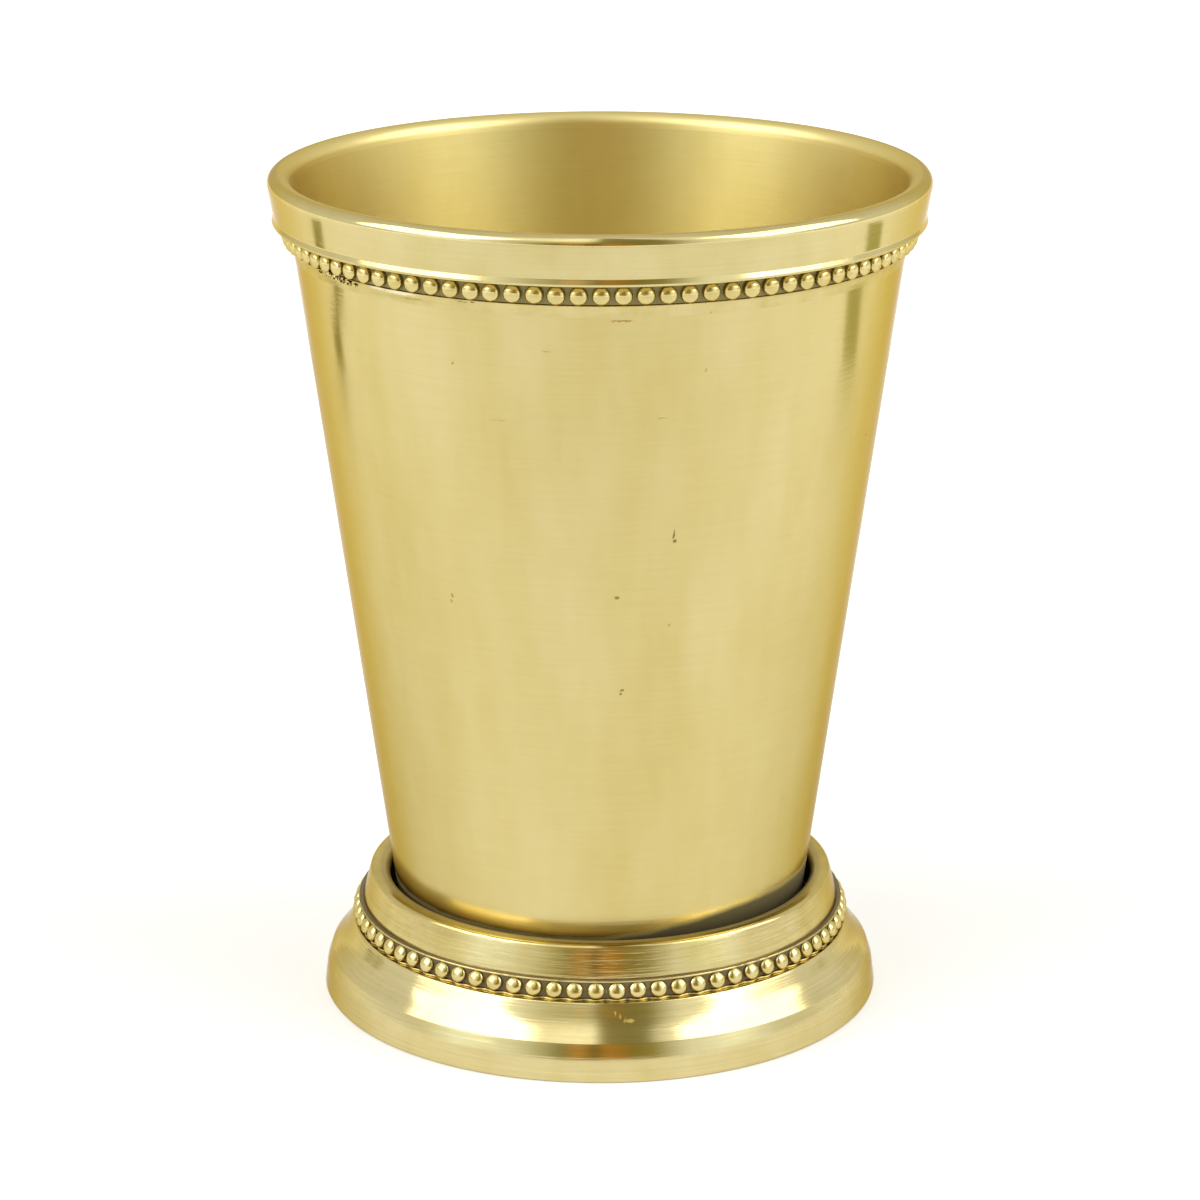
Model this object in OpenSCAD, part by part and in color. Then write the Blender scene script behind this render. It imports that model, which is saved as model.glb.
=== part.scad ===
// Brass julep cup: a tapered cup standing in a stepped foot, with a band and beaded wire round the mouth.
// Every piece is turned about the upright axis. Lengths are in millimetres and the foot rests on z = 0.

/* [Cup] */
// Height from the table to the top of the lip
cup_h = 108.2; // [96:0.1:120]
// Outer diameter of the cup's cone, taken up to the height of the lip
mouth_d = 79.6; // [74:0.1:84]
// Outer diameter of the cup's cone at its flat bottom
bottom_d = 52.5; // [46:0.1:56]
// Thickness of the drawn cup
cup_t = 0.9; // [0.7:0.05:1.2]
// Outer radius of the corner between the cup's wall and bottom
cup_corner_r = 2.2; // [1.6:0.1:3]

/* [Rim band] */
// Height of the band, from its lower edge to the top of the lip
band_h = 6.1; // [4:0.1:9]
// How far the band stands out from the cup's cone at the lip
band_top_out = 2.05; // [1.6:0.05:2.4]
// How far the band stands out from the cup's cone at its lower edge
band_low_out = 1.85; // [1.5:0.05:2.2]
// How much of the lip lies above the cup's own edge
lip_cover = 1.9; // [1.6:0.05:2.4]
// Rounding of the lip's outer edge
lip_outer_r = 0.9; // [0.5:0.05:1]
// Rounding of the lip's inner edge
lip_inner_r = 1.6; // [1:0.05:1.8]
// Rounding of the band's lower edge
band_low_r = 0.9; // [0.4:0.05:1.2]

/* [Beaded wire] */
// Diameter of one bead
bead_d = 2.1; // [1.8:0.05:2.4]
// Distance from bead to bead along the row
bead_pitch = 2.64; // [2.5:0.01:3.2]
// Thickness of the strip that carries the beads
strip_t = 0.42; // [0.3:0.02:0.6]
// How far a bead's centre lies outside the strip's back
bead_out = 0.7; // [0.5:0.05:0.9]
// Height of the strip on the rim
rim_strip_h = 3.2; // [2.9:0.1:4]
// Height of the rim's row of beads above the middle of its strip
rim_bead_up = 0.2; // [0:0.05:0.2]
// Height of the strip on the foot
foot_strip_h = 2.65; // [2.6:0.05:3.2]
// Height of the foot's row of beads above the strip's lower edge
foot_bead_up = 1.32; // [1.3:0.01:1.34]
// How far the thin edges of a strip stand out from its back
strip_edge_out = 0.6; // [0.55:0.05:0.8]
// Height of the thin edges of a strip
strip_edge_h = 0.25; // [0.15:0.05:0.25]

/* [Foot skirt] */
// Diameter at the fullest part of the base band
base_band_d = 71.9; // [68:0.1:76]
// Height of the fullest part of the base band
base_band_z = 3.2; // [2.4:0.1:3.6]
// How far the foot's resting edge stands out from there
foot_out = 0.4; // [0.2:0.05:0.8]
// How far the crease between the base band and the flare lies in from there
crease_in = 0.6; // [0.4:0.05:1]
// Height of the crease above the table
crease_z = 4.85; // [4.4:0.05:5.4]
// How far the top of the flare stands out from the collar
flare_top_out = 1.3; // [1.1:0.05:1.8]
// Height of the top of the flare
flare_top_z = 9.2; // [8:0.1:11]
// How far the flare is hollowed from a straight slope
flare_hollow = 0.3; // [0.1:0.05:0.4]
// Radius of that hollow
flare_hollow_r = 9; // [6:0.5:12]
// Thickness of the skirt
skirt_t = 1; // [0.8:0.05:1.2]
// Width of the ledge that carries the collar, from the top of the flare inwards
ledge_w = 4.3; // [3.4:0.1:7]
// Rounding of the fullest part of the base band
base_band_r = 6; // [3:0.5:7]
// Rounding of the edge that rests on the table
foot_edge_r = 0.3; // [0.1:0.05:0.45]

/* [Foot collar] */
// Gap between the cup and the top edge of the collar
collar_gap = 0.76; // [0.6:0.02:1]
// How far the collar stands out at its foot from its top edge
collar_low_out = 1.1; // [0.7:0.05:1.4]
// Height of the collar from the skirt's ledge to its top edge
collar_h = 6.7; // [5:0.1:9]
// Thickness of the collar's wall
collar_t = 2.3; // [1.8:0.05:2.6]
// Rounding of the collar's top edge on the outside
collar_outer_r = 0.8; // [0.4:0.05:1]
// Rounding of the collar's top edge on the inside
collar_inner_r = 1.3; // [0.6:0.05:1.4]
// Thickness of the collar's floor
collar_floor_t = 1; // [0.8:0.05:1.4]
// Inner diameter of the collar's floor
collar_bore_d = 42; // [36:0.5:45]

/* [Solder] */
// Height of the fillet under the rim's strip
rim_solder_h = 1; // [0.6:0.1:1.6]
// Width of that fillet on the strip's lower edge
rim_solder_w = 0.5; // [0.3:0.05:0.8]
// Height of the fillet between the cup and the collar's floor
foot_solder_h = 1.6; // [1:0.1:2]
// Width of that fillet on the collar's floor
foot_solder_w = 1.7; // [1:0.1:2]

/* [Hidden] */
$fn = 96;
arc_steps = 6;
curve_steps = 8;
rim_turn_share = 0.55;
foot_turn_share = 0.8;
seat_z = flare_top_z + collar_floor_t;
band_z = cup_h - band_h;
cup_edge_z = cup_h - lip_cover;
rim_strip_z = band_z - rim_strip_h;
rim_bead_z = rim_strip_z + rim_strip_h / 2 + rim_bead_up;
foot_bead_z = flare_top_z + foot_bead_up;
cup_slope = (mouth_d - bottom_d) / 2 / (cup_h - seat_z);
cup_wall_w = cup_t * sqrt(1 + cup_slope * cup_slope);
collar_top_z = flare_top_z + collar_h;
collar_top_d = 2 * (cup_r(collar_top_z) + collar_gap + collar_t);
collar_low_d = collar_top_d + 2 * collar_low_out;
flare_top_d = collar_low_d + 2 * flare_top_out;
ledge_d = flare_top_d - 2 * ledge_w;
crease_d = base_band_d - 2 * crease_in;
foot_d = base_band_d + 2 * foot_out;

// Radius of the cup's outside and inside at a height
function cup_r(z) = bottom_d / 2 + (z - seat_z) * cup_slope;
function cup_in_r(z) = cup_r(z) - cup_wall_w;

// Points of the arc that rounds the corner at b, between a and c, with radius r
function corner(a, b, c, r) =
    r == 0 ? [b] :
    let (
        u = (a - b) / norm(a - b),
        v = (c - b) / norm(c - b),
        half = acos(u * v) / 2,
        side = (u + v) / norm(u + v),
        middle = b + side * (r / sin(half)),
        turn = 90 - half
    )
    [
        for (i = [0 : arc_steps])
            let (
                k = 2 * i / arc_steps - 1,
                across = (v - u) / norm(v - u)
            )
            middle - side * (r * cos(k * turn)) + across * (r * sin(k * turn))
    ];

// Point of a closed path, counted round past either end
function point_at(path, i) =
    let (p = path[(i + len(path)) % len(path)])
    [p[0], p[1]];

// Length of each side that the rounding of corner i takes up
function taken(path, i) =
    let (
        k = (i + len(path)) % len(path),
        u = point_at(path, k - 1) - point_at(path, k),
        v = point_at(path, k + 1) - point_at(path, k)
    )
    path[k][2] / tan(acos(u * v / norm(u) / norm(v)) / 2);

// Rounding of corner i, limited where it and its neighbour's would fill the side between them
function fitted_r(path, i) =
    path[i][2] == 0 ? 0 :
    let (
        b = point_at(path, i),
        before = norm(point_at(path, i - 1) - b) / (taken(path, i - 1) + taken(path, i)),
        after = norm(point_at(path, i + 1) - b) / (taken(path, i) + taken(path, i + 1))
    )
    path[i][2] * min(1, before, after);

// Closed outline through points [radius, height, rounding]
function rounded(path) = [
    for (i = [0 : len(path) - 1])
        each corner(
            point_at(path, i - 1), point_at(path, i), point_at(path, i + 1), fitted_r(path, i)
        )
];

// Points of a hollow curve from a to c, drawn in towards b
function hollow_curve(a, b, c) = [
    for (i = [0 : curve_steps])
        let (t = i / curve_steps)
        (1 - t) * (1 - t) * a + 2 * t * (1 - t) * b + t * t * c
];

// Middle of the slope from a to b, drawn in from it by a depth and rounded
function hollowed(a, b, depth, r) =
    let (v = (b - a) / norm(b - a), p = (a + b) / 2 - depth * [v[1], -v[0]])
    [p[0], p[1], r];

// Solid turned from an outline of [radius, height, rounding] points
module turned(path) {
    rotate_extrude() polygon(rounded(path));
}

// One bead about the Z axis, its flat back at z = 0, half way into the strip
module bead() {
    sunk = bead_out - strip_t / 2;
    rotate_extrude()
        intersection() {
            translate([0, sunk])
                circle(d = bead_d);
            square([bead_d, bead_d + sunk]);
        }
}

// Ring of beads on a strip whose back has radius r, at height z
module bead_row(r, z, turn_share) {
    count = round(2 * PI * (r + bead_out) / bead_pitch);
    for (i = [0 : count - 1])
        rotate([0, 0, (i + turn_share) * 360 / count])
            translate([r + strip_t / 2, 0, z])
                rotate([0, 90, 0])
                    bead();
}

// Outside of the cup as a solid, up to its cut edge
module cup_outside() {
    turned([
        [0, seat_z, 0],
        [bottom_d / 2, seat_z, cup_corner_r],
        [cup_r(cup_edge_z), cup_edge_z, 0],
        [0, cup_edge_z, 0]
    ]);
}

// Drawn cup with a flat bottom, its edge left plain under the rim band
module cup_body() {
    inner_z = seat_z + cup_t;
    color([0.79, 0.71, 0.45])
        turned([
            [0, seat_z, 0],
            [bottom_d / 2, seat_z, cup_corner_r],
            [cup_r(cup_edge_z), cup_edge_z, 0],
            [cup_in_r(cup_edge_z), cup_edge_z, 0],
            [cup_in_r(inner_z), inner_z, cup_corner_r - cup_t],
            [0, inner_z, 0]
        ]);
}

// Band fitted round the mouth, its lip rounded over the cup's edge
module rim_band() {
    color([0.81, 0.73, 0.47])
        turned([
            [cup_r(band_z), band_z, 0],
            [cup_r(band_z) + band_low_out, band_z, band_low_r],
            [cup_r(cup_h) + band_top_out, cup_h, lip_outer_r],
            [cup_in_r(cup_h), cup_h, lip_inner_r],
            [cup_in_r(cup_edge_z), cup_edge_z, 0],
            [cup_r(cup_edge_z), cup_edge_z, 0]
        ]);
}

// Beaded strip right under the rim band, upright in front and tapered behind to fit the cup
module rim_bead_wire() {
    back_r = cup_r(rim_bead_z);
    low_z = rim_strip_z + strip_edge_h;
    high_z = band_z - strip_edge_h;
    color([0.74, 0.66, 0.38])
        union() {
            turned([
                [cup_r(rim_strip_z), rim_strip_z, 0],
                [back_r + strip_edge_out, rim_strip_z, 0],
                [back_r + strip_edge_out, low_z, 0],
                [back_r + strip_t, low_z, 0],
                [back_r + strip_t, high_z, 0],
                [back_r + strip_edge_out, high_z, 0],
                [back_r + strip_edge_out, band_z, 0],
                [cup_r(band_z), band_z, 0]
            ]);
            bead_row(back_r, rim_bead_z, rim_turn_share);
        }
}

// Solder fillet between the cup and the lower edge of the rim's strip
module rim_solder() {
    low_z = rim_strip_z - rim_solder_h;
    color([0.78, 0.72, 0.5])
        rotate_extrude()
            polygon(concat(
                [[cup_r(rim_strip_z), rim_strip_z]],
                hollow_curve(
                    [cup_r(low_z), low_z],
                    [cup_r(rim_strip_z), rim_strip_z],
                    [cup_r(rim_strip_z) + rim_solder_w, rim_strip_z]
                )
            ));
}

// Upright ring with an inward floor that carries the cup
module foot_collar() {
    low_r = collar_low_d / 2;
    top_r = collar_top_d / 2;
    seam_z = flare_top_z + foot_strip_h;
    color([0.74, 0.65, 0.4])
        turned([
            [collar_bore_d / 2, flare_top_z, 0],
            [low_r, flare_top_z, 0],
            [low_r, seam_z, 0],
            [top_r, collar_top_z, collar_outer_r],
            [top_r - collar_t, collar_top_z, collar_inner_r],
            [low_r - collar_t, seat_z, 0],
            [collar_bore_d / 2, seat_z, 0]
        ]);
}

// Flared ring with a crease, a full base band and a ledge for the collar
module foot_skirt() {
    flare_r = flare_top_d / 2;
    crease_r = crease_d / 2;
    under_z = flare_top_z - skirt_t;
    in_flare = [flare_r - skirt_t, under_z];
    in_crease = [crease_r - skirt_t, crease_z];
    color([0.8, 0.72, 0.46])
        turned([
            [foot_d / 2, 0, foot_edge_r],
            [base_band_d / 2, base_band_z, base_band_r],
            [crease_r, crease_z, 0],
            hollowed([crease_r, crease_z], [flare_r, flare_top_z], flare_hollow, flare_hollow_r),
            [flare_r, flare_top_z, foot_edge_r],
            [ledge_d / 2, flare_top_z, 0],
            [ledge_d / 2, under_z, 0],
            [in_flare[0], in_flare[1], 0],
            hollowed(in_crease, in_flare, flare_hollow, flare_hollow_r),
            [in_crease[0], in_crease[1], 0],
            [base_band_d / 2 - skirt_t, base_band_z, 0],
            [foot_d / 2 - skirt_t, 0, foot_edge_r]
        ]);
}

// Beaded strip standing on the skirt's ledge, round the collar
module foot_bead_wire() {
    back_r = collar_low_d / 2;
    low_z = flare_top_z + strip_edge_h;
    top_z = flare_top_z + foot_strip_h;
    high_z = top_z - strip_edge_h;
    color([0.72, 0.63, 0.36])
        union() {
            turned([
                [back_r, flare_top_z, 0],
                [back_r + strip_edge_out, flare_top_z, 0],
                [back_r + strip_edge_out, low_z, 0],
                [back_r + strip_t, low_z, 0],
                [back_r + strip_t, high_z, 0],
                [back_r + strip_edge_out, high_z, 0],
                [back_r + strip_edge_out, top_z, 0],
                [back_r, top_z, 0]
            ]);
            bead_row(back_r, foot_bead_z, foot_turn_share);
        }
}

// Solder that runs into the corner between the cup's bottom and the collar's floor
module foot_solder() {
    inner_r = bottom_d / 2 - cup_corner_r;
    outer_r = bottom_d / 2 + foot_solder_w;
    top_z = seat_z + foot_solder_h;
    color([0.6, 0.57, 0.48])
        difference() {
            rotate_extrude()
                polygon(concat(
                    [[inner_r, seat_z]],
                    hollow_curve(
                        [outer_r, seat_z],
                        [cup_r(seat_z), seat_z + foot_solder_h / 2],
                        [cup_r(top_z), top_z]
                    ),
                    [[inner_r, top_z]]
                ));
            cup_outside();
        }
}

cup_body();
rim_band();
rim_bead_wire();
rim_solder();
foot_collar();
foot_skirt();
foot_bead_wire();
foot_solder();
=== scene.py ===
import math
import random

import bmesh
import bpy
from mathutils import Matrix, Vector


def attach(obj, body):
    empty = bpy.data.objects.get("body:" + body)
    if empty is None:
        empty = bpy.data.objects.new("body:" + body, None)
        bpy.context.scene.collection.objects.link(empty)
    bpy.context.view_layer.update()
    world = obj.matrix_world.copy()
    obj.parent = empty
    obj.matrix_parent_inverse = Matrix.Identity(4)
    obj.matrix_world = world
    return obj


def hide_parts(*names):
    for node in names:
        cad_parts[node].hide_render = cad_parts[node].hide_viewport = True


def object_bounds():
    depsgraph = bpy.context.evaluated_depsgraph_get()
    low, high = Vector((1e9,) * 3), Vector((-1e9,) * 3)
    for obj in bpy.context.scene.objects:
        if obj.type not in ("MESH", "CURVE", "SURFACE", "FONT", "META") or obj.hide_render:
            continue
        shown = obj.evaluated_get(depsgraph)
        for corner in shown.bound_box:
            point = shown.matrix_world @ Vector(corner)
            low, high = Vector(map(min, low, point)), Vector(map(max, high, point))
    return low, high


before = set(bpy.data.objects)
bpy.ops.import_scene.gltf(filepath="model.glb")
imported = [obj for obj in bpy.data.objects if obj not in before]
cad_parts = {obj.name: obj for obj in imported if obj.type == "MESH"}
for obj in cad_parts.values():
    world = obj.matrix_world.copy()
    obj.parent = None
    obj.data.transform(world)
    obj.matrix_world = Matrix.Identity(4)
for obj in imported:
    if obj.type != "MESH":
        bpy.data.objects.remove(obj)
cadLow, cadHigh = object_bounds()
scene = bpy.context.scene
mm = 0.001
print("frame loaded:", len(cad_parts), "nodes")


def linearColour(hexText):
    # sRGB hex to the linear colour that a shader wants
    channels = [int(hexText[i : i + 2], 16) / 255 for i in (1, 3, 5)]
    return [*(c / 12.92 if c <= 0.04045 else ((c + 0.055) / 1.055) ** 2.4 for c in channels), 1]


def addObject(name, data):
    added = bpy.data.objects.new(name, data)
    scene.collection.objects.link(added)
    return added


def addNode(tree, kind, inputs=None, **settings):
    # one node with its own settings, each input either a plain value or another node's output; a Mix node
    # takes its numbers as inputs 2 and 3 and gives output 0, and its colours as 6 and 7 and gives output 2
    node = tree.nodes.new(kind)
    for name, value in settings.items():
        setattr(node, name, value)
    for name, value in (inputs or {}).items():
        if isinstance(value, bpy.types.NodeSocket):
            tree.links.new(value, node.inputs[name])
        else:
            node.inputs[name].default_value = value
    return node


smooth = {"interpolation_type": "SMOOTHSTEP"}  # a Map Range that eases in and out


def emptyMaterial(name):
    material = bpy.data.materials.new(name)
    material.use_nodes = True
    material.node_tree.nodes.clear()
    return material, material.node_tree


# Camera at the photograph's place: half a metre away, looking slightly down on the cup
cameraFacts = {
    "distance": 0.5005,
    "height": 0.2046,
    "lookDown": 16.98,  # degrees
    "sensorWidth": 36,  # mm
    "focalPixels": 4053,
    "imagePixels": 1200,
}
cameraData = bpy.data.cameras.new("camera")
cameraData.sensor_width = cameraFacts["sensorWidth"]
cameraData.lens = cameraFacts["sensorWidth"] * cameraFacts["focalPixels"] / cameraFacts["imagePixels"]
camera = addObject("camera", cameraData)
camera.location = (0, -cameraFacts["distance"], cameraFacts["height"])
camera.rotation_mode = "XYZ"
camera.rotation_euler = (math.radians(90 - cameraFacts["lookDown"]), 0, 0)
scene.camera = camera
scene.view_settings.view_transform = "Standard"

# Studio: white paper on the floor, two large soft boxes at the sides, and a dim room behind the camera
studio = {
    "floorSize": 6.0,
    "floorWhite": "#D5D5D5",
    # glow that brings the lit paper to plain white, by distance in front of the cup or behind it, and far
    # off;
    # weaker in front of the cup, a painted shade there that the cup's polish shows
    "floorLift": [(-0.4, 0.05), (-0.07, 0.25), (0.25, 0.44), (1.2, 0.86)],
    "farLift": (0.5, 1.3, 0.86),
    "boxWidth": 0.95,
    "boxHeight": 0.85,
    "boxDistance": 1.2,
    "boxAzimuth": (68, 76),  # degrees from the camera's side, left and right
    "boxElevation": 39,  # degrees
    "boxBrightness": 2.6,
    "paleLow": "#F4F4F2",
    "paleHigh": "#E8E8E6",
    # the room behind the camera from far left (-1) to far right (1), each tone with its brightness: at eye
    # height, higher up, and over the camera, where a light on the left ends at a dark beam
    "roomLow": [
        (-0.85, "#EEF7FF", 1.5), (-0.6, "#F8FCFF", 1.12), (-0.42, "#D6D8BE", 1), (-0.26, "#8E8850", 1),
        (-0.19, "#D2A24E", 1), (-0.11, "#C4943E", 1), (-0.07, "#7C6C30", 1), (-0.02, "#8A7232", 1),
        (0.02, "#CC9A40", 1), (0.16, "#B88C3C", 1), (0.22, "#968844", 1), (0.38, "#A89E60", 1),
        (0.6, "#F8FCFF", 1.12), (0.85, "#EEF7FF", 1.5),
    ],
    "roomHigh": [
        (-0.66, "#FFFFFF", 1.25), (-0.5, "#F6F6EA", 1), (-0.14, "#EEEFDC", 1), (-0.06, "#DEE0C8", 1),
        (-0.01, "#A0966A", 1), (0.15, "#90865A", 1), (0.4, "#949068", 1), (0.5, "#D0D0BC", 1),
        (0.64, "#FFFFFF", 1.2),
    ],
    "roomTop": [
        (-0.8, "#FFFFFF", 1.2), (-0.3, "#FFFFFF", 1.6), (-0.07, "#FFFFF6", 1.5), (0.0, "#9C9468", 1),
        (0.45, "#969064", 1), (0.56, "#FFFFFA", 1.1), (0.8, "#FFFFFF", 1.2),
    ],
    "lowAt": 0.3,  # heights of the three, as shares of the way up
    "highAt": 0.6,
    "topAt": 0.82,
    "dimFront": -0.55,  # how far round towards the camera the tones are seen in full, and where they end
    "dimEnd": -0.15,
}


def makeFloor():
    half = studio["floorSize"] / 2
    corners = [(-half, -half, 0), (half, -half, 0), (half, half, 0), (-half, half, 0)]
    mesh = bpy.data.meshes.new("paper")
    mesh.from_pydata(corners, [], [(0, 1, 2, 3)])
    floor = addObject("paper", mesh)
    # white seamless paper: matt, lifted a little so that it goes out to plain white but keeps the shadow,
    # and lifted less in front of the cup as a painted shade
    material, tree = emptyMaterial("whitePaper")
    rays = addNode(tree, "ShaderNodeLightPath").outputs
    seen = 0
    for ray in ("Is Camera Ray", "Is Glossy Ray", "Is Transmission Ray"):
        either = addNode(tree, "ShaderNodeMath", {0: rays[ray], 1: seen}, operation="ADD", use_clamp=True)
        seen = either.outputs[0]
    where = addNode(tree, "ShaderNodeTexCoord").outputs["Object"]
    depth = addNode(tree, "ShaderNodeSeparateXYZ", {0: where}).outputs["Y"]
    lifts = studio["floorLift"]
    lift = lifts[0][1]
    for (near, nearLift), (far, farLift) in zip(lifts, lifts[1:]):
        step = addNode(tree, "ShaderNodeMapRange", {
            "Value": depth, "From Min": near, "From Max": far, "To Max": farLift - nearLift,
        })
        lift = addNode(tree, "ShaderNodeMath", {0: step.outputs[0], 1: lift}, operation="ADD").outputs[0]
    start, end, endLift = studio["farLift"]
    away = addNode(tree, "ShaderNodeVectorMath", {0: where}, operation="LENGTH").outputs["Value"]
    far = addNode(
        tree, "ShaderNodeMapRange", {"Value": away, "From Min": start, "From Max": end, "To Max": endLift}
    )
    lift = addNode(tree, "ShaderNodeMath", {0: lift, 1: far.outputs[0]}, operation="MAXIMUM")
    lift = addNode(tree, "ShaderNodeMath", {0: seen, 1: lift.outputs[0]}, operation="MULTIPLY")
    matt = addNode(tree, "ShaderNodeBsdfDiffuse", {"Color": linearColour(studio["floorWhite"])})
    glow = addNode(tree, "ShaderNodeEmission", {"Strength": lift.outputs[0]})
    both = addNode(tree, "ShaderNodeAddShader", {0: matt.outputs[0], 1: glow.outputs[0]})
    addNode(tree, "ShaderNodeOutputMaterial", {"Surface": both.outputs[0]})
    mesh.materials.append(material)


def makeSoftBox(name, side):
    box = bpy.data.lights.new(name, "AREA")
    box.shape = "RECTANGLE"
    box.size = studio["boxWidth"]
    box.size_y = studio["boxHeight"]
    box.energy = studio["boxBrightness"] * math.pi * studio["boxWidth"] * studio["boxHeight"]
    lamp = addObject(name, box)
    azimuth = math.radians(studio["boxAzimuth"][side > 0])
    elevation = math.radians(studio["boxElevation"])
    away = studio["boxDistance"] * math.cos(elevation)
    high = studio["boxDistance"] * math.sin(elevation)
    lamp.location = (side * away * math.sin(azimuth), -away * math.cos(azimuth), high)
    facing = Vector((0, 0, cadHigh.z / 2)) - lamp.location
    lamp.rotation_mode = "QUATERNION"
    lamp.rotation_quaternion = facing.to_track_quat("-Z", "Y")
    lamp.visible_camera = False


# Two narrow bent cards beside the cup, seen only in its polish, that draw the dark line near each edge:
# glowing sheets, a painted reflection of shade
shadeReflectionCards = {
    "distance": 0.218,
    "width": (0.024, 0.036),  # left and right
    # height of each bend, and its degrees from the camera's side
    "bends": (
        [(0.008, 116.4), (0.02, 116.4), (0.024, 109.8), (0.034, 108.5)],
        [(0.008, 109.3), (0.032, 103.3)],
    ),
    "tone": ("#A8A04A", "#C6C482"),
}


def makeShadeReflectionCard(name, side):
    half = shadeReflectionCards["width"][side > 0] / 2
    corners = []
    for height, azimuth in shadeReflectionCards["bends"][side > 0]:
        angle = math.radians(azimuth)
        middle = Vector((side * math.sin(angle), -math.cos(angle), 0)) * shadeReflectionCards["distance"]
        across = Vector((math.cos(angle), side * math.sin(angle), 0)) * half
        middle.z = height
        corners += [middle - across, middle + across]
    mesh = bpy.data.meshes.new(name)
    mesh.from_pydata(corners, [], [(i, i + 1, i + 3, i + 2) for i in range(0, len(corners) - 2, 2)])
    card = addObject(name, mesh)
    for ray in ("camera", "diffuse", "transmission", "volume_scatter", "shadow"):
        setattr(card, "visible_" + ray, False)
    # olive card that glows evenly: a painted reflection of shade, lit by no lamp
    material, tree = emptyMaterial(name)
    tone = addNode(tree, "ShaderNodeEmission", {"Color": linearColour(shadeReflectionCards["tone"][side > 0])})
    addNode(tree, "ShaderNodeOutputMaterial", {"Surface": tone.outputs[0]})
    mesh.materials.append(material)


def makeRoom():
    world = bpy.data.worlds.new("studioRoom")
    scene.world = world
    world.use_nodes = True
    tree = world.node_tree
    tree.nodes.clear()
    way = addNode(tree, "ShaderNodeTexCoord").outputs["Generated"]
    parts = addNode(tree, "ShaderNodeSeparateXYZ", {0: way}).outputs
    level = addNode(tree, "ShaderNodeCombineXYZ", {0: parts["X"], 1: parts["Y"]})
    level = addNode(tree, "ShaderNodeVectorMath", {0: level.outputs[0]}, operation="NORMALIZE")
    turned = addNode(tree, "ShaderNodeSeparateXYZ", {0: level.outputs[0]}).outputs
    across = addNode(tree, "ShaderNodeMapRange", {"Value": turned["X"], "From Min": -1, "From Max": 1})
    seen = []
    for tones in (studio["roomLow"], studio["roomHigh"], studio["roomTop"]):
        ramp = addNode(tree, "ShaderNodeValToRGB", {0: across.outputs[0]})
        stops = ramp.color_ramp.elements
        stops.remove(stops[1])
        for index, (place, tone, brightness) in enumerate(tones):
            share = place / 2 + 0.5
            stop = stops.new(share) if index else stops[0]
            stop.position = share
            stop.color = [brightness * c for c in linearColour(tone)[:3]] + [1]
        seen.append(ramp.outputs[0])
    rise = addNode(tree, "ShaderNodeMapRange", {
        "Value": parts["Z"], "From Min": studio["lowAt"], "From Max": studio["highAt"],
    })
    overhead = addNode(tree, "ShaderNodeMapRange", {
        "Value": parts["Z"], "From Min": studio["highAt"], "From Max": studio["topAt"],
    })
    dim = addNode(tree, "ShaderNodeMix", {0: rise.outputs[0], 6: seen[0], 7: seen[1]}, data_type="RGBA")
    dim = addNode(
        tree, "ShaderNodeMix", {0: overhead.outputs[0], 6: dim.outputs[2], 7: seen[2]}, data_type="RGBA"
    )
    pale = addNode(tree, "ShaderNodeMix", {
        0: rise.outputs[0], 6: linearColour(studio["paleLow"]), 7: linearColour(studio["paleHigh"]),
    }, data_type="RGBA")
    behind = addNode(tree, "ShaderNodeMapRange", {
        "Value": turned["Y"], "From Min": studio["dimFront"], "From Max": studio["dimEnd"],
    }, **smooth)
    tone = addNode(
        tree, "ShaderNodeMix", {0: behind.outputs[0], 6: dim.outputs[2], 7: pale.outputs[2]}, data_type="RGBA"
    )
    back = addNode(tree, "ShaderNodeBackground", {"Color": tone.outputs[2]})
    addNode(tree, "ShaderNodeOutputWorld", {"Surface": back.outputs[0]})


makeFloor()
makeSoftBox("softBoxLeft", -1)
makeSoftBox("softBoxRight", 1)
makeShadeReflectionCard("shadeReflectionLeft", -1)
makeShadeReflectionCard("shadeReflectionRight", 1)
makeRoom()
print("studio set")


# What every brass here shares, unless its piece says otherwise
commonBrass = {
    "cloudTall": 1.5,  # how much taller than wide the clouds are
    "cloudFrom": 0.36,  # the part of the noise that the clouds run over, and the same for the lines
    "cloudTo": 0.66,
    "lineFrom": 0.3,
    "lineTo": 0.7,
    "lineLength": 14,  # mm, as are the steps and sizes of lines, clouds and specks
    "speckStep": 5,
    "speckSize": 0.2,
    "speckShare": 0.25,
    "speckDark": 0.5,
    "markRagged": 0.35,  # mm, how fine a mark's uneven edge is, and how far it strays
    "markStray": 0.45,
    "markFull": 0.3,  # shares of a mark's width, from its centre, where it is full and where it ends
    "markEnd": 0.55,
    "markStrength": 0.75,
    "markRough": 0.6,
    "edgeTint": "#D4C296",
    "drawnOut": 0.5,
    "quarterTurn": 0.25,  # turned lines draw reflections out up and down
}


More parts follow.
